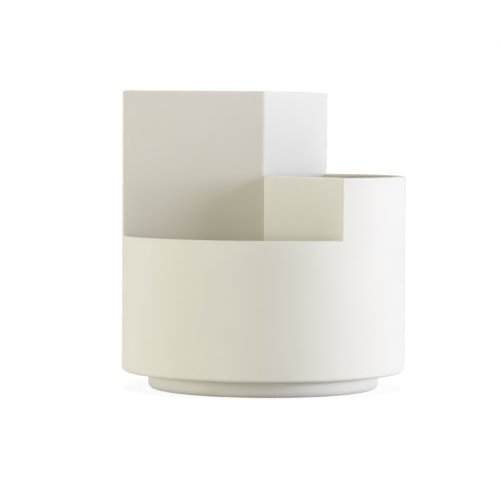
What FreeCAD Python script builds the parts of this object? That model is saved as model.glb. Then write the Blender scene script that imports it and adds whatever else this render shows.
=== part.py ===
import FreeCAD, Part
import math
import os

import Sketcher

# Tool storage caddy: a drum of three stepped compartments that spins on a ball-bearing base.
# The origin is on the table at the turning axis, +Z is up and -Y is the front.

document = FreeCAD.newDocument("tool_storage_caddy")
sheet = document.addObject("Spreadsheet::Sheet", "sizes")

# Driving dimensions, in millimetres and degrees
dimensions = {
    # drum outside
    "drum_radius": 65,
    "drum_level": 8,
    "tall_height": 136,
    "middle_height": 97.5,
    "low_height": 70,
    "tall_from": 60,
    "tall_to": 180,
    "middle_from": -61.3,
    # drum walls and roundings
    "drum_wall": 2.5,
    "drum_floor": 2.5,
    "rim_round": 1,
    "tall_corner_round": 2.2,
    "tall_corner_land": 0.06,
    "corner_web_reach": 14,
    "corner_web_drop": 0.5,
    "pocket_corner_round": 2,
    "pocket_floor_round": 1.2,
    "drum_foot_round": 1.6,
    # base
    "base_inset": 12.25,
    "base_gap": 0.5,
    "base_wall": 2.5,
    "base_floor": 2,
    "base_foot_round": 2.5,
    "base_rim_round": 0.6,
    # ball bearing
    "ball_diameter": 4,
    "ball_count": 16,
    "ball_clearance": 0.15,
    "track_inset": 10.25,
    "track_width": 9,
    "track_groove_play": 0.35,
    "cage_thickness": 1.4,
    "cage_clearance": 0.2,
    "cage_pocket_play": 0.2,
    # pivot
    "boss_radius": 4.5,
    "boss_clearance": 0.1,
    "pivot_play": 0.15,
    "hub_wall": 2.2,
    "hub_roof": 2,
    "washer_radius": 5.5,
    "washer_thickness": 1,
    "washer_clearance": 0.5,
    "washer_bore_play": 0.3,
    "screw_recess": 0.6,
    "screw_head_radius": 3.6,
    "screw_head_height": 2.2,
    "screw_head_round": 1.1,
    "screw_shank_radius": 1.75,
    "screw_tip": 0.9,
    "screw_clearance": 0.05,
    "pilot_spare": 0.5,
    "pilot_roof": 1.2,
    "cross_width": 0.9,
    "cross_reach": 1.9,
    "cross_depth": 1.3,
    # stiffening ribs
    "rib_count": 6,
    "rib_thickness": 1.4,
    "rib_gap": 0.3,
}
for row, (word, amount) in enumerate(dimensions.items(), start=1):
    sheet.set(f"A{row}", word)
    sheet.set(f"B{row}", str(amount))
    sheet.setAlias(f"B{row}", word)
document.recompute()

# Levels above the table and radii from the axis that follow from the driving dimensions
pocket_floor_level = "(sizes.drum_level + sizes.drum_floor)"
pocket_radius = "(sizes.drum_radius - sizes.drum_wall)"
base_radius = "(sizes.drum_radius - sizes.base_inset)"
base_rim_level = "(sizes.drum_level - sizes.base_gap)"
cup_radius = f"({base_radius} - sizes.base_wall)"
track_radius = f"({cup_radius} - sizes.track_inset)"
track_inner = f"({track_radius} - sizes.track_width / 2)"
track_outer = f"({track_radius} + sizes.track_width / 2)"
ball_radius = "(sizes.ball_diameter / 2)"
groove_radius = f"({ball_radius} + sizes.track_groove_play)"
ball_level = "((sizes.base_floor + sizes.drum_level) / 2)"
cage_half = "(sizes.cage_thickness / 2)"
lower_track_top = f"({ball_level} - {cage_half} - sizes.cage_clearance)"
upper_track_low = f"({ball_level} + {cage_half} + sizes.cage_clearance)"
lower_groove_level = f"({ball_level} - {ball_radius} - sizes.ball_clearance + {groove_radius})"
upper_groove_level = f"({ball_level} + {ball_radius} + sizes.ball_clearance - {groove_radius})"
head_under_level = "(sizes.screw_recess + sizes.screw_head_height)"
boss_end_level = f"({head_under_level} + sizes.washer_thickness)"
shoulder_level = f"({boss_end_level} + sizes.pivot_play)"
hub_top_level = f"({shoulder_level} + sizes.hub_roof)"
bore_radius = "(sizes.boss_radius + sizes.boss_clearance)"
counterbore_radius = "(sizes.washer_radius + sizes.washer_clearance)"
hub_radius = f"({counterbore_radius} + sizes.hub_wall)"
pilot_radius = "(sizes.screw_shank_radius + sizes.screw_clearance)"
pilot_depth = f"({pocket_floor_level} - sizes.pilot_roof - {boss_end_level})"
shank_end_level = f"({pocket_floor_level} - sizes.pilot_roof - sizes.pilot_spare)"
drum_rib_low = f"({hub_top_level} + sizes.rib_gap)"
lower_rib_top = f"({lower_track_top} - sizes.rib_gap)"
rib_end = f"({track_inner} + sizes.rib_thickness / 2)"

# The tall corner's rounding needs this much of the tall section's right face. The middle section's
# front wall starts there, so it stands back a little, and its pocket starts one wall further out.
section_angle = "(sizes.tall_from - sizes.middle_from)"
tall_half_angle = "((sizes.tall_to - sizes.tall_from) / 2)"
setback_reach = f"(sizes.tall_corner_round / tan({tall_half_angle}) + sizes.tall_corner_land)"
setback = f"({setback_reach} * sin({section_angle}))"
middle_corner_reach = f"({setback_reach} + sizes.drum_wall / sin({section_angle}))"
tall_corner_reach = f"(sizes.drum_wall / sin({tall_half_angle}))"
tall_middle_angle = f"(sizes.tall_from + {tall_half_angle})"
overcut = 5
outside_radius = f"(sizes.drum_radius + {overcut})"


def number(formula):
    return float(sheet.evalExpression(formula))


def polar(distance, angle):
    return (f"({distance} * cos({angle}))", f"({distance} * sin({angle}))")


def new_body(label):
    body = document.addObject("PartDesign::Body", label)
    body.Label = label
    return body


def new_sketch(body, name, plane="XY_Plane", level="0"):
    sketch = body.newObject("Sketcher::SketchObject", name)
    support = next(item for item in body.Origin.OriginFeatures if item.Role == plane)
    sketch.AttachmentSupport = [(support, "")]
    sketch.MapMode = "FlatFace"
    sketch.setExpression("AttachmentOffset.Base.z", level)
    return sketch


def bind(sketch, constraint, formula):
    index = sketch.addConstraint(constraint)
    sketch.setExpression(f"Constraints[{index}]", formula)


def bind_point(sketch, geometry, point, across, up):
    bind(sketch, Sketcher.Constraint("DistanceX", -1, 1, geometry, point, number(across)), across)
    bind(sketch, Sketcher.Constraint("DistanceY", -1, 1, geometry, point, number(up)), up)


def add_circle(sketch, radius, across="0", up="0"):
    centre = FreeCAD.Vector(number(across), number(up), 0)
    circle = sketch.addGeometry(Part.Circle(centre, FreeCAD.Vector(0, 0, 1), number(radius)))
    if across == up == "0":
        sketch.addConstraint(Sketcher.Constraint("Coincident", circle, 3, -1, 1))
    else:
        bind_point(sketch, circle, 3, across, up)
    bind(sketch, Sketcher.Constraint("Radius", circle, number(radius)), radius)


def add_polygon(sketch, corners):
    points = [FreeCAD.Vector(number(across), number(up), 0) for across, up in corners]
    lines = []
    for index, start in enumerate(points):
        finish = points[(index + 1) % len(points)]
        lines.append(sketch.addGeometry(Part.LineSegment(start, finish)))
    for index, line in enumerate(lines):
        follower = lines[(index + 1) % len(lines)]
        sketch.addConstraint(Sketcher.Constraint("Coincident", line, 2, follower, 1))
        bind_point(sketch, line, 1, *corners[index])


def add_rib(sketch, start):
    side = "sizes.rib_thickness / 2"
    add_polygon(sketch, [(start, f"-{side}"), (rib_end, f"-{side}"), (rib_end, side), (start, side)])


def ray_end(start, angle, radius):
    direction = FreeCAD.Vector(math.cos(math.radians(angle)), math.sin(math.radians(angle)), 0)
    along = start.dot(direction)
    return start + direction * (math.sqrt(along**2 - start.dot(start) + radius**2) - along)


# A pie slice: two straight sides that start at their own corners, and an arc about the axis
def add_sector(sketch, first_angle, last_angle, radius, first_corner, last_corner):
    near_first = FreeCAD.Vector(*(number(part) for part in first_corner), 0)
    near_last = FreeCAD.Vector(*(number(part) for part in last_corner), 0)
    far_first = ray_end(near_first, number(first_angle), number(radius))
    far_last = ray_end(near_last, number(last_angle), number(radius))
    first_side = sketch.addGeometry(Part.LineSegment(near_first, far_first))
    last_side = sketch.addGeometry(Part.LineSegment(near_last, far_last))
    start = math.atan2(far_first.y, far_first.x)
    finish = math.atan2(far_last.y, far_last.x)
    if finish < start:
        finish += 2 * math.pi
    whole = Part.Circle(FreeCAD.Vector(), FreeCAD.Vector(0, 0, 1), number(radius))
    arc = sketch.addGeometry(Part.ArcOfCircle(whole, start, finish))
    sketch.addConstraint(Sketcher.Constraint("Coincident", arc, 3, -1, 1))
    sketch.addConstraint(Sketcher.Constraint("Coincident", first_side, 2, arc, 1))
    sketch.addConstraint(Sketcher.Constraint("Coincident", last_side, 2, arc, 2))
    bind(sketch, Sketcher.Constraint("Radius", arc, number(radius)), radius)
    bind(sketch, Sketcher.Constraint("Angle", first_side, math.radians(number(first_angle))), first_angle)
    bind(sketch, Sketcher.Constraint("Angle", last_side, math.radians(number(last_angle))), last_angle)
    bind_point(sketch, first_side, 1, *first_corner)
    if first_corner == last_corner:
        sketch.addConstraint(Sketcher.Constraint("Coincident", first_side, 1, last_side, 1))
    else:
        bind_point(sketch, last_side, 1, *last_corner)
        link = sketch.addGeometry(Part.LineSegment(near_last, near_first))
        sketch.addConstraint(Sketcher.Constraint("Coincident", last_side, 1, link, 1))
        sketch.addConstraint(Sketcher.Constraint("Coincident", link, 2, first_side, 1))


def extrude(body, kind, name, sketch, length, is_reversed):
    made = body.newObject(f"PartDesign::{kind}", name)
    made.Profile = sketch
    made.setExpression("Length", length)
    made.Reversed = is_reversed
    sketch.Visibility = False
    document.recompute()
    return made


def pad(body, name, sketch, length, downward=False):
    return extrude(body, "Pad", name, sketch, length, downward)


def pocket(body, name, sketch, length, upward=False):
    before = body.Shape.Volume
    made = extrude(body, "Pocket", name, sketch, length, upward)
    assert body.Shape.Volume < before, f"{name} cut nothing"
    return made


def ring_groove(body, name, sketch):
    before = body.Shape.Volume
    made = body.newObject("PartDesign::Groove", name)
    made.Profile = sketch
    made.ReferenceAxis = (sketch, ["V_Axis"])
    made.Angle = 360
    document.recompute()
    assert body.Shape.Volume < before, f"{name} cut nothing"
    return made


def repeat_round(body, name, original, count):
    made = body.newObject("PartDesign::PolarPattern", name)
    axis = next(item for item in body.Origin.OriginFeatures if item.Role == "Z_Axis")
    made.Originals = [original]
    made.Axis = (axis, [""])
    made.Angle = 360
    made.setExpression("Occurrences", count)
    body.Tip = made
    document.recompute()
    return made


def edge_names(shape, chosen):
    return [f"Edge{index}" for index, edge in enumerate(shape.Edges, start=1) if chosen(edge)]


def dress(body, kind, name, chosen, size_property, size):
    names = edge_names(body.Shape, chosen)
    assert names, f"{name} found no edge"
    shaped = body.Tip
    made = body.newObject(f"PartDesign::{kind}", name)
    made.Base = (shaped, names)
    made.setExpression(size_property, size)
    document.recompute()
    return made


def fillet(body, name, chosen, radius):
    return dress(body, "Fillet", name, chosen, "Radius", radius)


def chamfer(body, name, chosen, size):
    return dress(body, "Chamfer", name, chosen, "Size", size)


nearly = 0.001


def at_level(edge, formula):
    level = number(formula)
    return abs(edge.BoundBox.ZMin - level) < nearly and abs(edge.BoundBox.ZMax - level) < nearly


def is_upright(edge):
    return edge.BoundBox.XLength < nearly and edge.BoundBox.YLength < nearly


def reach(edge):
    return max(math.hypot(vertex.X, vertex.Y) for vertex in edge.Vertexes)


def is_circle(edge, formula):
    return hasattr(edge.Curve, "Radius") and abs(edge.Curve.Radius - number(formula)) < nearly


# True for an edge in the upright plane that runs at this angle, this far to the left of the axis
def lies_on(edge, angle, offset="0"):
    turn = math.radians(number(angle))
    across = FreeCAD.Vector(-math.sin(turn), math.cos(turn), 0)
    return all(abs(vertex.Point.dot(across) - number(offset)) < nearly for vertex in edge.Vertexes)


# Drum: one moulding with three compartments, a closed underside and a pivot boss
drum = new_body("caddy_drum")
axis_point = ("0", "0")
setback_point = polar(setback_reach, "sizes.tall_from")

sketch = new_sketch(drum, "drum_outline", level="sizes.drum_level")
add_circle(sketch, "sizes.drum_radius")
pad(drum, "drum_block", sketch, "sizes.tall_height - sizes.drum_level")

sketch = new_sketch(drum, "middle_step_outline", level="sizes.tall_height")
add_sector(sketch, "sizes.middle_from", "sizes.tall_from", outside_radius, axis_point, axis_point)
pocket(drum, "middle_step", sketch, "sizes.tall_height - sizes.middle_height")

sketch = new_sketch(drum, "low_step_outline", level="sizes.tall_height")
add_sector(sketch, "sizes.tall_to", "sizes.middle_from", outside_radius, axis_point, setback_point)
pocket(drum, "low_step", sketch, "sizes.tall_height - sizes.low_height")

sketch = new_sketch(drum, "tall_pocket_outline", level="sizes.tall_height")
tall_inner_corner = polar(tall_corner_reach, tall_middle_angle)
inner_corners = [tall_inner_corner, tall_inner_corner]
add_sector(sketch, "sizes.tall_from", "sizes.tall_to", pocket_radius, *inner_corners)
pocket(drum, "tall_pocket", sketch, f"sizes.tall_height - {pocket_floor_level}")

sketch = new_sketch(drum, "middle_pocket_outline", level="sizes.middle_height")
middle_inner_corner = polar(middle_corner_reach, "sizes.tall_from")
inner_corners = [middle_inner_corner, middle_inner_corner]
add_sector(sketch, "sizes.middle_from", "sizes.tall_from", pocket_radius, *inner_corners)
pocket(drum, "middle_pocket", sketch, f"sizes.middle_height - {pocket_floor_level}")

sketch = new_sketch(drum, "low_pocket_outline", level="sizes.low_height")
add_sector(sketch, "sizes.tall_to", "sizes.middle_from", pocket_radius, axis_point, setback_point)
pocket(drum, "low_pocket", sketch, f"sizes.low_height - {pocket_floor_level}")


# The drum's edges, told apart by the wall face, rim or floor that they lie on
def on_tall_front(edge):
    return lies_on(edge, "sizes.tall_to")


def on_tall_right(edge):
    return lies_on(edge, "sizes.tall_from")


def on_middle_front(edge):
    return lies_on(edge, "sizes.middle_from", setback)


def is_pocket_corner(edge):
    faces = on_tall_front(edge) or on_tall_right(edge) or on_middle_front(edge)
    return is_upright(edge) and reach(edge) < number(pocket_radius) + nearly and not faces


def is_outer_corner(edge):
    above_floor = edge.BoundBox.ZMin > number(pocket_floor_level)
    return is_upright(edge) and above_floor and reach(edge) > number(pocket_radius) + nearly


def is_rim(edge):
    tall = at_level(edge, "sizes.tall_height")
    middle = at_level(edge, "sizes.middle_height") and not on_tall_right(edge)
    low = at_level(edge, "sizes.low_height") and not on_tall_front(edge) and not on_middle_front(edge)
    return tall or middle or low


def is_floor_edge(edge):
    corner_strip = on_tall_right(edge) and reach(edge) < number(setback_reach) + nearly
    low_side = on_tall_front(edge) or on_middle_front(edge) or corner_strip
    return at_level(edge, pocket_floor_level) and not low_side


def is_tall_corner(edge):
    return is_upright(edge) and reach(edge) < nearly


def is_drum_foot(edge):
    return at_level(edge, "sizes.drum_level") and is_circle(edge, "sizes.drum_radius")


fillet(drum, "pocket_corners", is_pocket_corner, "sizes.pocket_corner_round")
fillet(drum, "pocket_floors", is_floor_edge, "sizes.pocket_floor_round")
fillet(drum, "tall_corner", is_tall_corner, "sizes.tall_corner_round")
fillet(drum, "rims", lambda edge: is_rim(edge) or is_outer_corner(edge), "sizes.rim_round")
fillet(drum, "drum_foot", is_drum_foot, "sizes.drum_foot_round")

# A web fills the notch between the tall corner and the middle section's front wall, up to just below
# that wall's rim. It starts half a floor deep and half a wall deep in the material it joins.
web_across = f"({setback_point[0]} + sizes.corner_web_reach * cos(sizes.middle_from))"
web_up = f"({setback_point[1]} + sizes.corner_web_reach * sin(sizes.middle_from))"
web_depth = f"({setback_reach} + sizes.drum_wall / 2)"
web_bottom = f"({pocket_floor_level} - sizes.drum_floor / 2)"
web_top = "(sizes.middle_height - sizes.corner_web_drop)"
sketch = new_sketch(drum, "corner_web_outline", level=web_bottom)
web_corners = [polar(web_depth, "sizes.tall_to"), axis_point]
web_corners += [(web_across, web_up), polar(web_depth, "sizes.tall_from")]
add_polygon(sketch, web_corners)
pad(drum, "corner_web", sketch, f"{web_top} - {web_bottom}")

# Underside of the drum: the upper ball track, the pivot boss with its screw hole, and ribs between them
sketch = new_sketch(drum, "upper_track_outline", level="sizes.drum_level")
add_circle(sketch, track_inner)
add_circle(sketch, track_outer)
pad(drum, "upper_track", sketch, f"sizes.drum_level - {upper_track_low}", downward=True)
sketch = new_sketch(drum, "upper_groove_outline", plane="XZ_Plane")
add_circle(sketch, groove_radius, track_radius, upper_groove_level)
ring_groove(drum, "upper_groove", sketch)

sketch = new_sketch(drum, "boss_outline", level="sizes.drum_level")
add_circle(sketch, "sizes.boss_radius")
pad(drum, "boss", sketch, f"sizes.drum_level - {boss_end_level}", downward=True)
sketch = new_sketch(drum, "drum_rib_outline", level="sizes.drum_level")
add_rib(sketch, "sizes.boss_radius / 2")
drum_rib = pad(drum, "drum_rib", sketch, f"sizes.drum_level - {drum_rib_low}", downward=True)
repeat_round(drum, "drum_ribs", drum_rib, "sizes.rib_count")
sketch = new_sketch(drum, "pilot_outline", level=boss_end_level)
add_circle(sketch, pilot_radius)
pocket(drum, "pilot_hole", sketch, pilot_depth, upward=True)

# Base: a shallow cup with the lower ball track, and a hub that the drum's boss turns in
base = new_body("base_plate")
sketch = new_sketch(base, "base_outline")
add_circle(sketch, base_radius)
pad(base, "base_disc", sketch, base_rim_level)
sketch = new_sketch(base, "cup_outline", level=base_rim_level)
add_circle(sketch, cup_radius)
pocket(base, "cup", sketch, f"{base_rim_level} - sizes.base_floor")
fillet(base, "base_foot", lambda edge: at_level(edge, "0"), "sizes.base_foot_round")
fillet(base, "base_rim", lambda edge: at_level(edge, base_rim_level), "sizes.base_rim_round")

sketch = new_sketch(base, "lower_track_outline", level="sizes.base_floor")
add_circle(sketch, track_inner)
add_circle(sketch, track_outer)
pad(base, "lower_track", sketch, f"{lower_track_top} - sizes.base_floor")
sketch = new_sketch(base, "lower_groove_outline", plane="XZ_Plane")
add_circle(sketch, groove_radius, track_radius, lower_groove_level)
ring_groove(base, "lower_groove", sketch)

sketch = new_sketch(base, "base_rib_outline", level="sizes.base_floor")
add_rib(sketch, counterbore_radius)
base_rib = pad(base, "base_rib", sketch, f"{lower_rib_top} - sizes.base_floor")
repeat_round(base, "base_ribs", base_rib, "sizes.rib_count")
sketch = new_sketch(base, "hub_outline", level="sizes.base_floor")
add_circle(sketch, hub_radius)
pad(base, "hub", sketch, f"{hub_top_level} - sizes.base_floor")
sketch = new_sketch(base, "counterbore_outline")
add_circle(sketch, counterbore_radius)
pocket(base, "counterbore", sketch, shoulder_level, upward=True)
sketch = new_sketch(base, "bore_outline", level=shoulder_level)
add_circle(sketch, bore_radius)
pocket(base, "bore", sketch, "sizes.hub_roof", upward=True)

# Ball cage: a flat ring with one pocket for each ball
cage = new_body("ball_cage")
sketch = new_sketch(cage, "cage_outline", level=f"{ball_level} - {cage_half}")
add_circle(sketch, track_inner)
add_circle(sketch, track_outer)
pad(cage, "cage_ring", sketch, "sizes.cage_thickness")
sketch = new_sketch(cage, "cage_pocket_outline", level=f"{ball_level} + {cage_half}")
add_circle(sketch, f"{ball_radius} + sizes.cage_pocket_play", track_radius, "0")
cage_pocket = pocket(cage, "cage_pocket", sketch, "sizes.cage_thickness")
repeat_round(cage, "cage_pockets", cage_pocket, "sizes.ball_count")

# Balls, one in each pocket of the cage
balls = []
for index in range(round(number("sizes.ball_count"))):
    ball = document.addObject("Part::Sphere", f"ball_{index + 1:02d}")
    ball.setExpression("Radius", ball_radius)
    across, along = polar(track_radius, f"({index} * 360 / sizes.ball_count)")
    ball.setExpression("Placement.Base.x", across)
    ball.setExpression("Placement.Base.y", along)
    ball.setExpression("Placement.Base.z", ball_level)
    balls.append(ball)

# Washer and screw that hold the base on the boss
washer = new_body("pivot_washer")
sketch = new_sketch(washer, "washer_outline", level=head_under_level)
add_circle(sketch, "sizes.washer_radius")
add_circle(sketch, "sizes.screw_shank_radius + sizes.washer_bore_play")
pad(washer, "washer_ring", sketch, "sizes.washer_thickness")

screw = new_body("pivot_screw")
sketch = new_sketch(screw, "head_outline", level="sizes.screw_recess")
add_circle(sketch, "sizes.screw_head_radius")
pad(screw, "head", sketch, "sizes.screw_head_height")
fillet(screw, "head_dome", lambda edge: at_level(edge, "sizes.screw_recess"), "sizes.screw_head_round")
sketch = new_sketch(screw, "shank_outline", level=head_under_level)
add_circle(sketch, "sizes.screw_shank_radius")
pad(screw, "shank", sketch, f"{shank_end_level} - {head_under_level}")
chamfer(screw, "shank_tip", lambda edge: at_level(edge, shank_end_level), "sizes.screw_tip")
sketch = new_sketch(screw, "cross_outline", level="sizes.screw_recess")
slot = "sizes.cross_width / 2"
arm = "sizes.cross_reach"
quarter = [(arm, f"-{slot}"), (arm, slot), (slot, slot)]
cross = []
for turn in range(4):
    cross += quarter
    quarter = [(f"-({up})", across) for across, up in quarter]
add_polygon(sketch, cross)
pocket(screw, "cross_recess", sketch, "sizes.cross_depth", upward=True)

# Every feature is sound before anything is written
document.recompute()
pieces = [drum, base, cage, *balls, washer, screw]
for item in document.Objects:
    faults = {"Invalid", "Error"} & set(item.State)
    assert not faults, f"{item.Name} is {faults}"
for piece in pieces:
    assert not piece.Shape.isNull() and piece.Shape.isValid(), f"{piece.Label} has no sound shape"
    assert len(piece.Shape.Solids) == 1, f"{piece.Label} is not one solid"

os.makedirs("parts", exist_ok=True)
for piece in pieces:
    piece.Shape.exportStep(f"parts/{piece.Label}.step")
    print(piece.Label, round(piece.Shape.Volume, 1))
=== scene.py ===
import math
import bpy
import bmesh
from mathutils import Matrix, Vector


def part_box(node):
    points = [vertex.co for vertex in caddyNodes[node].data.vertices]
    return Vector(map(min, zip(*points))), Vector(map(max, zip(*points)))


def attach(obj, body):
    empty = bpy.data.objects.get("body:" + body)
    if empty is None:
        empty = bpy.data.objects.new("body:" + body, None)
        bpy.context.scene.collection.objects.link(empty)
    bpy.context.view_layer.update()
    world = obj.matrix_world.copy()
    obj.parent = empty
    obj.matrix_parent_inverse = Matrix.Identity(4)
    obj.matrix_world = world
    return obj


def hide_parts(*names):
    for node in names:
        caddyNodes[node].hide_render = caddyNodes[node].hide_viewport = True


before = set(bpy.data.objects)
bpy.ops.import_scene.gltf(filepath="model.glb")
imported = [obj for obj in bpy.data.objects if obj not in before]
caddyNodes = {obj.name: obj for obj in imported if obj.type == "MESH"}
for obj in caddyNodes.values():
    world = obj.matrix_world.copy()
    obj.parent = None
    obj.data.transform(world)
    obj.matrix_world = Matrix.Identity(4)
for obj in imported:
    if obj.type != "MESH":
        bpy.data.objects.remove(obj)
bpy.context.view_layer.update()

print("caddy loaded:", len(caddyNodes), "nodes")


# helpers for node trees; place is where a node lies in the editor
def addNode(tree, kind, place, **settings):
    node = tree.nodes.new(kind)
    node.location = place
    for key, value in settings.items():
        setattr(node, key, value)
    return node


def emptyTree(owner):
    owner.use_nodes = True
    owner.node_tree.nodes.clear()
    return owner.node_tree


def plug(tree, source, socket):  # links a socket, or sets a plain value
    if isinstance(source, bpy.types.NodeSocket):
        tree.links.new(source, socket)
    else:
        socket.default_value = source


def maths(tree, operation, first, second, place, clamp=False):
    node = addNode(tree, "ShaderNodeMath", place, operation=operation, use_clamp=clamp)
    plug(tree, first, node.inputs[0])
    plug(tree, second, node.inputs[1])
    return node.outputs[0]


# takes a value from one level to another over a span
def ramp(tree, value, span, place, levels=(0.0, 1.0), kind="SMOOTHSTEP"):
    node = addNode(tree, "ShaderNodeMapRange", place, interpolation_type=kind)
    names = ("Value", "From Min", "From Max", "To Min", "To Max")
    for name, source in zip(names, (value, *span, *levels)):
        plug(tree, source, node.inputs[name])
    return node.outputs["Result"]


def noise(tree, vector, scale, texture, place):  # texture is detail and roughness
    node = addNode(tree, "ShaderNodeTexNoise", place)
    plug(tree, vector, node.inputs["Vector"])
    plug(tree, scale, node.inputs["Scale"])
    node.inputs["Detail"].default_value, node.inputs["Roughness"].default_value = texture
    return node.outputs["Fac"]


def mix(tree, kind, factor, first, second, place):
    node = addNode(tree, "ShaderNodeMix", place, data_type=kind)
    plug(tree, factor, node.inputs["Factor"])
    plug(tree, first, node.inputs["A"])
    plug(tree, second, node.inputs["B"])
    return node.outputs["Result"]


def startGroup(name, inputs, outputs):
    group = bpy.data.node_groups.new(name, "ShaderNodeTree")
    for label, value in inputs.items():
        socket = group.interface.new_socket(label, in_out="INPUT", socket_type="NodeSocketFloat")
        socket.default_value = value
    for label in outputs:
        group.interface.new_socket(label, in_out="OUTPUT", socket_type="NodeSocketFloat")
    return group, addNode(group, "NodeGroupInput", (-1200, 0)), addNode(group, "NodeGroupOutput", (900, 0))


millimetresPerMetre = 1000


def inMillimetres(tree, place):
    coords = addNode(tree, "ShaderNodeTexCoord", place)
    scaled = addNode(tree, "ShaderNodeVectorMath", (place[0] + 200, place[1]), operation="SCALE")
    tree.links.new(coords.outputs["Object"], scaled.inputs[0])
    scaled.inputs["Scale"].default_value = millimetresPerMetre
    return scaled.outputs[0]


# helpers for meshes and objects
def addObject(name, data):
    item = bpy.data.objects.new(name, data)
    bpy.context.scene.collection.objects.link(item)
    return item


def meshFrom(shape, name):
    mesh = bpy.data.meshes.new(name)
    shape.to_mesh(mesh)
    shape.free()
    return mesh


def ringOfPoints(shape, radius, height, steps):
    turns = [2 * math.pi * step / steps for step in range(steps)]
    return [shape.verts.new((radius * math.cos(turn), radius * math.sin(turn), height)) for turn in turns]


# spark-eroded mould skin: fine pits, slow patches, faint upright flow streaks and a few specks
skinSetup = {
    "inputs": {"Grain Per Mm": 2.2, "Pit Share": 0.5, "Patch Per Mm": 0.03},
    "grainTexture": (3.0, 0.6), "pitSmoothness": 0.7,
    "patchTexture": (3.0, 0.5), "patchSpan": (0.3, 0.7),
    "streaksPerMm": (0.35, 0.35, 0.012), "streakTexture": (2.0, 0.5), "streakSpan": (0.35, 0.65),
    "specksPerMm": 0.11, "speckEdge": (0.012, 0.03), "speckCut": 0.8,
}


def buildMouldSkin(setup):
    group, given, out = startGroup("mouldSkin", setup["inputs"], ("Height", "Patch", "Streak", "Speck"))
    point = inMillimetres(group, (-1200, 300))
    grain = noise(group, point, given.outputs["Grain Per Mm"], setup["grainTexture"], (-700, 400))
    pits = addNode(group, "ShaderNodeTexVoronoi", (-700, 150), feature="SMOOTH_F1")
    group.links.new(point, pits.inputs["Vector"])
    group.links.new(given.outputs["Grain Per Mm"], pits.inputs["Scale"])
    pits.inputs["Smoothness"].default_value = setup["pitSmoothness"]
    height = mix(group, "FLOAT", given.outputs["Pit Share"], grain, pits.outputs["Distance"], (-350, 300))
    group.links.new(height, out.inputs["Height"])
    patch = noise(group, point, given.outputs["Patch Per Mm"], setup["patchTexture"], (-700, -150))
    group.links.new(ramp(group, patch, setup["patchSpan"], (-350, -150)), out.inputs["Patch"])
    stretch = addNode(group, "ShaderNodeMapping", (-900, -400))
    stretch.inputs["Scale"].default_value = setup["streaksPerMm"]
    group.links.new(point, stretch.inputs["Vector"])
    streak = noise(group, stretch.outputs[0], 1.0, setup["streakTexture"], (-700, -400))
    group.links.new(ramp(group, streak, setup["streakSpan"], (-350, -400)), out.inputs["Streak"])
    dots = addNode(group, "ShaderNodeTexVoronoi", (-700, -650), feature="F1")
    group.links.new(point, dots.inputs["Vector"])
    dots.inputs["Scale"].default_value = setup["specksPerMm"]
    near = ramp(group, dots.outputs["Distance"], setup["speckEdge"], (-350, -600), levels=(1.0, 0.0))
    dotColour = addNode(group, "ShaderNodeSeparateColor", (-500, -800))
    group.links.new(dots.outputs["Color"], dotColour.inputs[0])
    chosen = maths(group, "GREATER_THAN", dotColour.outputs[0], setup["speckCut"], (-300, -800))
    group.links.new(maths(group, "MULTIPLY", near, chosen, (0, -650)), out.inputs["Speck"])
    return group


# tells handled rims, which get real wear and a painted sheen, from the floors below them, by how far a face
# looks up
wearDustAndSheenSetup = {
    "inputs": {"Split Level Mm": 20.0, "Breakup Per Mm": 0.12},
    "slopeSpan": (0.1, 0.8),
    "breakupTexture": (4.0, 0.6), "breakupSpan": (0.25, 0.75), "breakupLevels": (0.35, 1.0),
}


def buildRimAndFloor(setup):
    group, given, out = startGroup("rimAndFloor", setup["inputs"], ("Rim", "Floor"))
    point = inMillimetres(group, (-1200, 300))
    parts = addNode(group, "ShaderNodeSeparateXYZ", (-800, 300))
    group.links.new(point, parts.inputs[0])
    face = addNode(group, "ShaderNodeNewGeometry", (-1200, -200))
    slope = addNode(group, "ShaderNodeSeparateXYZ", (-1000, -200))
    group.links.new(face.outputs["Normal"], slope.inputs[0])
    upward = ramp(group, slope.outputs["Z"], setup["slopeSpan"], (-700, -200))
    above = maths(group, "GREATER_THAN", parts.outputs["Z"], given.outputs["Split Level Mm"], (-600, 300))
    below = maths(group, "SUBTRACT", 1.0, above, (-400, 150))
    patchy = noise(group, point, given.outputs["Breakup Per Mm"], setup["breakupTexture"], (-700, 0))
    broken = ramp(group, patchy, setup["breakupSpan"], (-450, 0), levels=setup["breakupLevels"])
    worn = maths(group, "MULTIPLY", upward, broken, (-200, -100))
    group.links.new(maths(group, "MULTIPLY", worn, above, (100, 200)), out.inputs["Rim"])
    group.links.new(maths(group, "MULTIPLY", worn, below, (100, -50)), out.inputs["Floor"])
    return group


# rings left by turning or stamping a round metal piece about the middle
markSetup = {
    "inputs": {"Rings Per Mm": 9.0, "Wobble": 0.25},
    "swaysPerMm": 0.6, "swayTexture": (2.0, 0.5), "ringDetail": 2.0, "glossSpan": (0.3, 0.7),
    "blotchesPerMm": 0.35, "blotchTexture": (4.0, 0.6), "blotchSpan": (0.35, 0.65),
}


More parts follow.
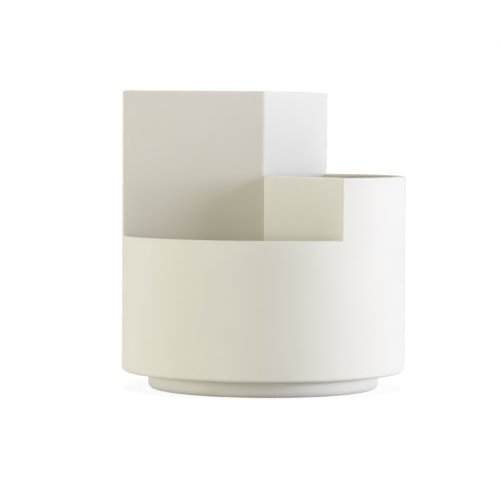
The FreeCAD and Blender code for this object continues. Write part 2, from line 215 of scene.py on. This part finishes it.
def buildTurningMarks(setup):
    group, given, out = startGroup("turningMarks", setup["inputs"], ("Height", "Gloss", "Blotch"))
    point = inMillimetres(group, (-1200, 300))
    flat = addNode(group, "ShaderNodeVectorMath", (-900, 300), operation="MULTIPLY")
    group.links.new(point, flat.inputs[0])
    flat.inputs[1].default_value = (1, 1, 0)
    reach = addNode(group, "ShaderNodeVectorMath", (-700, 300), operation="LENGTH")
    group.links.new(flat.outputs[0], reach.inputs[0])
    sway = noise(group, point, setup["swaysPerMm"], setup["swayTexture"], (-700, 50))
    swayed = maths(group, "MULTIPLY", sway, given.outputs["Wobble"], (-500, 50))
    radius = maths(group, "ADD", reach.outputs["Value"], swayed, (-400, 300))
    along = maths(group, "MULTIPLY", radius, given.outputs["Rings Per Mm"], (-200, 300))
    ring = addNode(group, "ShaderNodeTexNoise", (0, 300), noise_dimensions="1D")
    group.links.new(along, ring.inputs["W"])
    ring.inputs["Scale"].default_value = 1.0
    ring.inputs["Detail"].default_value = setup["ringDetail"]
    group.links.new(ring.outputs["Fac"], out.inputs["Height"])
    group.links.new(ramp(group, ring.outputs["Fac"], setup["glossSpan"], (300, 200)), out.inputs["Gloss"])
    blotch = noise(group, point, setup["blotchesPerMm"], setup["blotchTexture"], (0, -100))
    group.links.new(ramp(group, blotch, setup["blotchSpan"], (300, -100)), out.inputs["Blotch"])
    return group


mouldSkin = buildMouldSkin(skinSetup)
rimAndFloor = buildRimAndFloor(wearDustAndSheenSetup)
turningMarks = buildTurningMarks(markSetup)
print("finish groups built")


def startMaterial(name):
    material = bpy.data.materials.new(name)
    tree = emptyTree(material)
    surface = addNode(tree, "ShaderNodeBsdfPrincipled", (700, 0))
    output = addNode(tree, "ShaderNodeOutputMaterial", (1000, 0))
    tree.links.new(surface.outputs[0], output.inputs["Surface"])
    return material, tree, surface


def placeGroup(tree, group, place, values):
    node = addNode(tree, "ShaderNodeGroup", place, node_tree=group)
    for label, value in values.items():
        node.inputs[label].default_value = value
    return node


def bump(tree, surface, height, strength, distance, place):
    node = addNode(tree, "ShaderNodeBump", place)
    node.inputs["Strength"].default_value = strength
    node.inputs["Distance"].default_value = distance
    tree.links.new(height, node.inputs["Height"])
    tree.links.new(node.outputs["Normal"], surface.inputs["Normal"])


def makeMoulding(name, finish):
    material, tree, surface = startMaterial(name)
    skin = placeGroup(tree, mouldSkin, (-900, 200), {
        "Grain Per Mm": finish["grainPerMm"],
        "Pit Share": finish["pitShare"],
        "Patch Per Mm": finish["patchPerMm"],
    })
    wear = placeGroup(tree, rimAndFloor, (-900, -200), {"Split Level Mm": finish["splitLevelMm"]})
    shade = mix(tree, "RGBA", skin.outputs["Patch"], finish["colour"], finish["patchColour"], (-500, 300))
    specked = maths(tree, "MULTIPLY", skin.outputs["Speck"], finish["speckShare"], (-500, 100))
    shade = mix(tree, "RGBA", specked, shade, finish["speckColour"], (-250, 300))
    # rim tops turn lighter: a painted sheen laid over real wear; the roughness drop below is the wear
    rubbedAndSheen = maths(tree, "MULTIPLY", wear.outputs["Rim"], finish["rimWearAndSheenShare"], (-500, -100))
    shade = mix(tree, "RGBA", rubbedAndSheen, shade, finish["rimWearAndSheenColour"], (0, 300))
    dusty = maths(tree, "MULTIPLY", wear.outputs["Floor"], finish["dustShare"], (-500, -300))
    shade = mix(tree, "RGBA", dusty, shade, finish["dustColour"], (250, 300))
    tree.links.new(shade, surface.inputs["Base Color"])
    dull = ramp(tree, skin.outputs["Streak"], (0.0, 1.0), (-250, 0), levels=finish["rough"])
    polished = maths(tree, "MULTIPLY", wear.outputs["Rim"], finish["rimPolish"], (-250, -200))
    dull = maths(tree, "SUBTRACT", dull, polished, (0, 0))
    dull = maths(tree, "ADD", dull, dusty, (250, 0), clamp=True)
    tree.links.new(dull, surface.inputs["Roughness"])
    surface.inputs["Specular IOR Level"].default_value = finish["shine"]
    bump(tree, surface, skin.outputs["Height"], finish["grainStrength"], finish["grainDepth"], (300, -400))
    return material


def makeMetal(name, finish):
    material, tree, surface = startMaterial(name)
    marks = placeGroup(tree, turningMarks, (-700, 200), {
        "Rings Per Mm": finish["ringsPerMm"],
        "Wobble": finish["wobble"],
    })
    shade = mix(tree, "RGBA", marks.outputs["Blotch"], finish["colour"], finish["blotchColour"], (-250, 300))
    tree.links.new(shade, surface.inputs["Base Color"])
    dull = ramp(tree, marks.outputs["Gloss"], (0.0, 1.0), (-250, 0), levels=finish["rough"])
    tree.links.new(dull, surface.inputs["Roughness"])
    surface.inputs["Metallic"].default_value = 1.0
    bump(tree, surface, marks.outputs["Height"], finish["markStrength"], finish["markDepth"], (300, -300))
    return material


drumFinish = {
    "colour": (0.722, 0.692, 0.612, 1), "patchColour": (0.706, 0.677, 0.598, 1),
    "speckColour": (0.40, 0.37, 0.31, 1), "speckShare": 0.3,
    # the lighter rim colour is a painted sheen over real wear
    "rimWearAndSheenColour": (0.77, 0.745, 0.675, 1), "rimWearAndSheenShare": 0.5, "rimPolish": 0.1,
    "dustColour": (0.56, 0.54, 0.50, 1), "dustShare": 0.15,
    "splitLevelMm": 20.0, "grainPerMm": 2.2, "pitShare": 0.5, "patchPerMm": 0.03,
    "rough": (0.78, 0.86), "shine": 0.15, "grainStrength": 0.35, "grainDepth": 0.00006,
}
baseFinish = dict(
    drumFinish,
    colour=(0.716, 0.686, 0.605, 1), patchColour=(0.698, 0.668, 0.590, 1),
    splitLevelMm=7.0, patchPerMm=0.05, rough=(0.76, 0.84), dustShare=0.1,
)
cageFinish = dict(
    drumFinish,
    colour=(0.82, 0.81, 0.76, 1), patchColour=(0.80, 0.79, 0.73, 1), splitLevelMm=0.0,
    grainPerMm=4.5, pitShare=0.2, rough=(0.30, 0.38), shine=0.5, grainStrength=0.2, rimWearAndSheenShare=0.1,
)
washerFinish = {
    "colour": (0.66, 0.67, 0.68, 1), "blotchColour": (0.60, 0.61, 0.64, 1),
    "ringsPerMm": 7.0, "wobble": 0.6, "rough": (0.24, 0.40), "markStrength": 0.3, "markDepth": 0.00004,
}
screwFinish = {
    "colour": (0.64, 0.65, 0.66, 1), "blotchColour": (0.58, 0.59, 0.62, 1),
    "ringsPerMm": 11.0, "wobble": 0.25, "rough": (0.20, 0.36), "markStrength": 0.3, "markDepth": 0.00003,
}
ballFinish = {
    "colour": (0.74, 0.75, 0.77, 1), "blotchColour": (0.70, 0.71, 0.74, 1),
    "ringsPerMm": 16.0, "wobble": 3.0, "rough": (0.06, 0.12), "markStrength": 0.05, "markDepth": 0.00001,
}
finishes = {
    "drum_plastic": makeMoulding("drumPlastic", drumFinish),
    "base_plastic": makeMoulding("basePlastic", baseFinish),
    "cage_plastic": makeMoulding("cagePlastic", cageFinish),
    "washer_steel": makeMetal("washerSteel", washerFinish),
    "screw_steel": makeMetal("screwSteel", screwFinish),
    "ball_steel": makeMetal("ballSteel", ballFinish),
}
for node in caddyNodes.values():
    for holder in node.material_slots:
        holder.material = finishes[holder.material.name.split(".")[0]]
print("finishes on", len(caddyNodes), "nodes")


# pivot screw: the pan head has a tapered cross, and a node tree shapes the threaded shank
screwSizes = {
    "headRadius": 0.0036, "headHeight": 0.0022, "headRound": 0.0010, "headChamfer": 0.00012,
    "headSteps": 72, "roundSteps": 9, "sharpAngle": 32,
    "crown": 0.00014, "crownMidRadius": 0.5, "crownMidHeight": 0.3,
    "crossReach": 0.00185, "crossWidth": 0.00085, "crossDepth": 0.0013, "crossTaper": 0.5,
    "crossLead": 0.0002, "crossFlare": 1.05, "crossSideTaper": 0.6,
    "neckRadius": 0.0016, "neckLength": 0.0012, "neckEase": 0.0003,
    "coreRadius": 0.00125, "crestRadius": 0.00173, "pitch": 0.0012, "rootShare": 0.45,
    "tipLength": 0.0011, "tipShare": 0.15, "tipCurve": 0.6,
    "shankOverlap": 0.0005, "shankSides": 48, "shankRows": 150,
}


def buildShankTree(labels, sizes):
    tree = bpy.data.node_groups.new("screwShank", "GeometryNodeTree")
    tree.interface.new_socket("Geometry", in_out="INPUT", socket_type="NodeSocketGeometry")
    for label in labels:
        tree.interface.new_socket(label, in_out="INPUT", socket_type="NodeSocketFloat")
    tree.interface.new_socket("Finish", in_out="INPUT", socket_type="NodeSocketMaterial")
    tree.interface.new_socket("Geometry", in_out="OUTPUT", socket_type="NodeSocketGeometry")
    size = addNode(tree, "NodeGroupInput", (-1400, 0)).outputs
    # a rod of radius 1, whose points are drawn in to the radius at their height
    rod = addNode(tree, "GeometryNodeMeshCylinder", (-900, 300))
    rod.inputs["Vertices"].default_value = sizes["shankSides"]
    rod.inputs["Side Segments"].default_value = sizes["shankRows"]
    rod.inputs["Radius"].default_value = 1.0
    length = maths(tree, "SUBTRACT", size["Tip"], size["Foot"], (-1100, 300))
    tree.links.new(length, rod.inputs["Depth"])
    spot = addNode(tree, "ShaderNodeSeparateXYZ", (-1100, -100))
    tree.links.new(addNode(tree, "GeometryNodeInputPosition", (-1300, -200)).outputs[0], spot.inputs[0])
    middle = maths(tree, "MULTIPLY_ADD", length, 0.5, (-900, -250))
    tree.links.new(size["Foot"], middle.node.inputs[2])
    height = maths(tree, "ADD", spot.outputs["Z"], middle, (-700, -200))
    # the thread: how far round its turn a point is, as a ridge between two flat roots
    angle = maths(tree, "ARCTAN2", spot.outputs["Y"], spot.outputs["X"], (-900, -450))
    turn = maths(tree, "DIVIDE", angle, 2 * math.pi, (-700, -450))
    climb = maths(tree, "DIVIDE", height, size["Pitch"], (-500, -300))
    halfTurn = 0.5
    wound = maths(tree, "SUBTRACT", climb, turn, (-300, -350))
    phase = maths(tree, "PINGPONG", wound, halfTurn, (-150, -350))
    halfRoot = maths(tree, "MULTIPLY", size["Root Share"], halfTurn, (-150, -550))
    ridge = ramp(tree, phase, (halfRoot, halfTurn), (50, -350), kind="LINEAR")
    begin = maths(tree, "ADD", size["Thread Start"], size["Pitch"], (-300, -700))
    fadeIn = ramp(tree, height, (size["Thread Start"], begin), (-100, -700))
    grown = maths(tree, "MULTIPLY", ridge, fadeIn, (250, -400))
    depth = maths(tree, "SUBTRACT", size["Crest Radius"], size["Core Radius"], (50, -150))
    proud = maths(tree, "MULTIPLY", depth, grown, (400, -300))
    threaded = maths(tree, "ADD", size["Core Radius"], proud, (550, -250))
    # plain neck under the head, and a blunt tip
    neckEnd = maths(tree, "SUBTRACT", size["Thread Start"], size["Neck Ease"], (50, -100))
    pastNeck = ramp(tree, height, (neckEnd, size["Thread Start"]), (300, -100))
    radius = mix(tree, "FLOAT", pastNeck, size["Neck Radius"], threaded, (700, -150))
    taperStart = maths(tree, "SUBTRACT", size["Tip"], size["Tip Length"], (-300, -900))
    fadeOut = ramp(tree, height, (taperStart, size["Tip"]), (-100, -900), levels=(1.0, size["Tip Share"]))
    drawnIn = maths(tree, "POWER", fadeOut, size["Tip Curve"], (100, -900))
    reach = maths(tree, "MULTIPLY", radius, drawnIn, (900, -150))
    moved = addNode(tree, "ShaderNodeCombineXYZ", (1200, -100))
    tree.links.new(maths(tree, "MULTIPLY", spot.outputs["X"], reach, (1050, 0)), moved.inputs[0])
    tree.links.new(maths(tree, "MULTIPLY", spot.outputs["Y"], reach, (1050, -150)), moved.inputs[1])
    tree.links.new(height, moved.inputs[2])
    shaped = addNode(tree, "GeometryNodeSetPosition", (1400, 200))
    tree.links.new(rod.outputs["Mesh"], shaped.inputs["Geometry"])
    tree.links.new(moved.outputs[0], shaped.inputs["Position"])
    real = addNode(tree, "GeometryNodeRealizeInstances", (1600, 200))
    tree.links.new(shaped.outputs[0], real.inputs["Geometry"])
    coat = addNode(tree, "GeometryNodeSetMaterial", (1800, 200))
    tree.links.new(real.outputs[0], coat.inputs["Geometry"])
    tree.links.new(size["Finish"], coat.inputs["Material"])
    out = addNode(tree, "NodeGroupOutput", (2000, 200))
    tree.links.new(coat.outputs[0], out.inputs[0])
    return tree


def plainMesh(item):  # what the modifiers give, as a mesh of its own
    return bpy.data.meshes.new_from_object(item.evaluated_get(bpy.context.evaluated_depsgraph_get()))


def makeShank(sizes, headTop, end, finish):
    values = {
        "Foot": headTop - sizes["shankOverlap"], "Tip": end, "Thread Start": headTop + sizes["neckLength"],
        "Neck Radius": sizes["neckRadius"], "Neck Ease": sizes["neckEase"],
        "Core Radius": sizes["coreRadius"], "Crest Radius": sizes["crestRadius"],
        "Pitch": sizes["pitch"], "Root Share": sizes["rootShare"],
        "Tip Length": sizes["tipLength"], "Tip Share": sizes["tipShare"], "Tip Curve": sizes["tipCurve"],
    }
    shank = addObject("screwShank", bpy.data.meshes.new("screwShank"))
    cutter = shank.modifiers.new("thread", "NODES")
    cutter.node_group = buildShankTree(values, sizes)
    values["Finish"] = finish
    for socket in cutter.node_group.interface.items_tree:
        if socket.in_out == "INPUT" and socket.name in values:
            cutter[socket.identifier] = values[socket.name]
    shank.data = plainMesh(shank)
    shank.modifiers.clear()
    return shank


def headProfile(sizes, low, headTop):  # radius and height, from the crown's middle round to the shank side
    edge, bend, crown = sizes["headRadius"], sizes["headRound"], sizes["crown"]
    chamfer = sizes["headChamfer"]
    flat = edge - bend
    profile = [(0, low), (flat * sizes["crownMidRadius"], low + crown * sizes["crownMidHeight"])]
    for step in range(sizes["roundSteps"] + 1):
        turn = math.radians(90 * step / sizes["roundSteps"])
        profile.append((flat + bend * math.sin(turn), low + crown + bend - bend * math.cos(turn)))
    return profile + [(edge, headTop - chamfer), (edge - chamfer, headTop), (0, headTop)]


def lathe(name, profile, steps):
    shape = bmesh.new()
    rings = []
    for radius, height in profile:
        if radius == 0:
            rings.append([shape.verts.new((0, 0, height))])
        else:
            rings.append(ringOfPoints(shape, radius, height, steps))
    for low, high in zip(rings, rings[1:]):
        for step in range(steps):
            after = (step + 1) % steps
            corners = [low[step % len(low)], low[after % len(low)]]
            corners += [high[after % len(high)], high[step % len(high)]]
            shape.faces.new(list(dict.fromkeys(corners)))  # a triangle where a ring is one point
    bmesh.ops.recalc_face_normals(shape, faces=shape.faces)
    return meshFrom(shape, name)


def crossBar(name, sizes, low, turned):  # one arm of the cross, narrower at its bottom
    shape = bmesh.new()
    sideTaper = sizes["crossSideTaper"]
    mouth = (low - sizes["crossLead"], sizes["crossFlare"])
    bottom = (low + sizes["crossDepth"], sizes["crossTaper"])
    rows = []
    for height, shrink in (mouth, bottom):
        along = sizes["crossReach"] * shrink
        across = sizes["crossWidth"] / 2 * (1 - sideTaper + sideTaper * shrink)
        if turned:
            along, across = across, along
        corners = ((-along, -across), (along, -across), (along, across), (-along, across))
        rows.append([shape.verts.new((x, y, height)) for x, y in corners])
    first, last = rows
    for corner in range(4):
        after = (corner + 1) % 4
        shape.faces.new((first[corner], first[after], last[after], last[corner]))
    shape.faces.new(first[::-1])
    shape.faces.new(last)
    bmesh.ops.recalc_face_normals(shape, faces=shape.faces)
    return addObject(name, meshFrom(shape, name))


def makePivotScrew(sizes, finish):
    low, high = (corner.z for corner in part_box("pivot_screw"))
    headTop = low + sizes["headHeight"]
    shank = makeShank(sizes, headTop, high, finish)
    head = addObject("pivotScrew", lathe("pivotScrew", headProfile(sizes, low, headTop), sizes["headSteps"]))
    helpers = [crossBar("crossBarA", sizes, low, False), crossBar("crossBarB", sizes, low, True), shank]
    for helper, action in zip(helpers, ("DIFFERENCE", "DIFFERENCE", "UNION")):
        step = head.modifiers.new(helper.name, "BOOLEAN")
        step.object, step.operation, step.solver = helper, action, "EXACT"
    mesh = plainMesh(head)
    mesh.name = "pivotScrew"
    head.modifiers.clear()
    head.data = mesh
    for helper in helpers:
        bpy.data.objects.remove(helper)
    mesh.materials.clear()
    mesh.materials.append(finish)
    mesh.shade_smooth()
    mesh.set_sharp_from_angle(angle=math.radians(sizes["sharpAngle"]))
    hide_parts("pivot_screw")
    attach(head, "drum")
    print("pivot screw made:", len(mesh.polygons), "faces")


makePivotScrew(screwSizes, finishes["screw_steel"])


# camera where the photograph was taken from: a long lens, almost level
cameraSetup = {
    "place": (-0.04831, -1.2811, 0.12085), "forward": (0.03272, 0.99844, -0.04495), "roll": 0.32,
    "lens": 201.29, "sensor": 36, "clip": (0.05, 60),
}


def addCamera(setup):
    forward = Vector(setup["forward"]).normalized()
    right = forward.cross(Vector((0, 0, 1))).normalized()
    up = right.cross(forward)
    roll = math.radians(setup["roll"])
    rolledRight = right * math.cos(roll) + up * math.sin(roll)
    rolledUp = up * math.cos(roll) - right * math.sin(roll)
    data = bpy.data.cameras.new("photoCamera")
    data.lens = setup["lens"]
    data.sensor_width = setup["sensor"]
    data.clip_start, data.clip_end = setup["clip"]
    camera = addObject("photoCamera", data)
    turned = Matrix((rolledRight, rolledUp, -forward)).transposed().to_4x4()
    camera.matrix_world = Matrix.Translation(setup["place"]) @ turned
    bpy.context.scene.camera = camera


addCamera(cameraSetup)
print("camera placed")


# 1 for what shows in the picture, in a reflection or through glass, and 0 for light on the object
def seenDirectly(tree, path):
    ray = path.outputs
    shown = maths(tree, "MAXIMUM", ray["Is Camera Ray"], ray["Is Glossy Ray"], (-400, 300))
    return maths(tree, "MAXIMUM", shown, ray["Is Transmission Ray"], (-200, 300))


# floor: a wide ring, open under the base and clear from below, so that the underside can be seen
floorSetup = {
    "inner": 0.0506, "outer": 9.0, "rings": 24, "steps": 96, "colour": (0.86, 0.86, 0.86, 1),
    "glow": (0.86, 0.98), "fade": (0.1, 0.7),  # the glow's strength near and far, and where it changes
    "shadeShare": 0.25,  # how much of the lit colour, and so of the shadow, shows over the glow
}


def makeFloorMaterial(setup):
    material = bpy.data.materials.new("paleFloor")
    tree = emptyTree(material)
    path = addNode(tree, "ShaderNodeLightPath", (-600, 300))
    shown = seenDirectly(tree, path)
    plain = addNode(tree, "ShaderNodeBsdfDiffuse", (-200, 50))
    plain.inputs["Color"].default_value = setup["colour"]
    faint = addNode(tree, "ShaderNodeBsdfDiffuse", (-200, -80))
    faint.inputs["Color"].default_value = [part * setup["shadeShare"] for part in setup["colour"][:3]] + [1]
    spot = addNode(tree, "ShaderNodeTexCoord", (-1000, -200))
    reach = addNode(tree, "ShaderNodeVectorMath", (-800, -200), operation="LENGTH")
    tree.links.new(spot.outputs["Object"], reach.inputs[0])
    glow = addNode(tree, "ShaderNodeEmission", (-200, -200))
    strength = ramp(tree, reach.outputs["Value"], setup["fade"], (-600, -150), levels=setup["glow"])
    tree.links.new(strength, glow.inputs["Strength"])
    lit = addNode(tree, "ShaderNodeAddShader", (50, -100))
    tree.links.new(faint.outputs[0], lit.inputs[0])
    tree.links.new(glow.outputs[0], lit.inputs[1])
    pick = addNode(tree, "ShaderNodeMixShader", (250, 50))
    tree.links.new(shown, pick.inputs[0])
    tree.links.new(plain.outputs[0], pick.inputs[1])
    tree.links.new(lit.outputs[0], pick.inputs[2])
    side = addNode(tree, "ShaderNodeNewGeometry", (-600, -300))
    clear = addNode(tree, "ShaderNodeBsdfTransparent", (250, -200))
    fromCamera = path.outputs["Is Camera Ray"]
    seeThrough = maths(tree, "MULTIPLY", side.outputs["Backfacing"], fromCamera, (250, 300))
    last = addNode(tree, "ShaderNodeMixShader", (500, 0))
    tree.links.new(seeThrough, last.inputs[0])
    tree.links.new(pick.outputs[0], last.inputs[1])
    tree.links.new(clear.outputs[0], last.inputs[2])
    output = addNode(tree, "ShaderNodeOutputMaterial", (750, 0))
    tree.links.new(last.outputs[0], output.inputs["Surface"])
    return material


def addFloor(setup):
    shape = bmesh.new()
    growth = setup["outer"] / setup["inner"]
    rings = []
    for ring in range(setup["rings"]):
        radius = setup["inner"] * growth ** (ring / (setup["rings"] - 1))
        rings.append(ringOfPoints(shape, radius, 0, setup["steps"]))
    for inner, outer in zip(rings, rings[1:]):
        for step in range(setup["steps"]):
            after = (step + 1) % setup["steps"]
            shape.faces.new((inner[step], outer[step], outer[after], inner[after]))
    floor = addObject("paleFloor", meshFrom(shape, "paleFloor"))
    floor.data.materials.append(makeFloorMaterial(setup))


addFloor(floorSetup)
print("floor laid")

# soft studio lamps: bearing is degrees to the right of the photograph's front, lift is degrees upwards
studioSetup = {"aim": (0, 0, 0.07), "away": 1.6}
lampSetup = {
    "keyRight": {"bearing": 84, "lift": 4, "size": 0.35, "power": 16.4, "colour": (0.75, 0.82, 1.0)},
    "frontRight": {"bearing": 50, "lift": 8, "size": 0.35, "power": 8.0, "colour": (0.71, 0.71, 1.0)},
    "fillLeft": {"bearing": -80, "lift": 4, "size": 0.5, "power": 14.3, "colour": (0.965, 0.985, 1.0)},
    "frontTop": {"bearing": 0, "lift": 65, "size": 0.6, "power": 7.9, "colour": (1.0, 0.99, 0.86)},
    "frontLow": {"bearing": 0, "lift": 4, "size": 0.5, "power": 1.7, "colour": (1.0, 0.97, 0.3)},
    "under": {"bearing": -30, "lift": -70, "size": 0.6, "power": 14.0, "colour": (1.0, 1.0, 0.98)},
    "back": {"bearing": 180, "lift": 35, "size": 0.6, "power": 9.0, "colour": (1.0, 1.0, 1.0)},
}
worldSetup = {"ambient": (1.0, 0.99, 0.97, 1), "strength": 0.24, "backdrop": (1, 1, 1, 1)}


def addLamps(studio, lamps):
    for name, lamp in lamps.items():
        data = bpy.data.lights.new(name, "AREA")
        data.shape = "DISK"
        data.size = lamp["size"]
        data.energy = lamp["power"]
        data.color = lamp["colour"]
        bearing, lift = math.radians(lamp["bearing"]), math.radians(lamp["lift"])
        level = math.cos(lift)
        way = Vector((math.sin(bearing) * level, -math.cos(bearing) * level, math.sin(lift)))
        item = addObject(name, data)
        item.location = Vector(studio["aim"]) + way * studio["away"]
        item.rotation_mode = "QUATERNION"
        item.rotation_quaternion = way.to_track_quat("Z", "Y")


def setWorld(setup):
    world = bpy.data.worlds.new("whiteStudio")
    bpy.context.scene.world = world
    tree = emptyTree(world)
    shown = seenDirectly(tree, addNode(tree, "ShaderNodeLightPath", (-600, 300)))
    ambient = addNode(tree, "ShaderNodeBackground", (-200, 0))
    ambient.inputs["Color"].default_value = setup["ambient"]
    ambient.inputs["Strength"].default_value = setup["strength"]
    white = addNode(tree, "ShaderNodeBackground", (-200, -150))
    white.inputs["Color"].default_value = setup["backdrop"]
    pick = addNode(tree, "ShaderNodeMixShader", (50, 0))
    tree.links.new(shown, pick.inputs[0])
    tree.links.new(ambient.outputs[0], pick.inputs[1])
    tree.links.new(white.outputs[0], pick.inputs[2])
    output = addNode(tree, "ShaderNodeOutputWorld", (300, 0))
    tree.links.new(pick.outputs[0], output.inputs["Surface"])


addLamps(studioSetup, lampSetup)
setWorld(worldSetup)
bpy.context.scene.view_settings.view_transform = "Standard"
print("stage set")
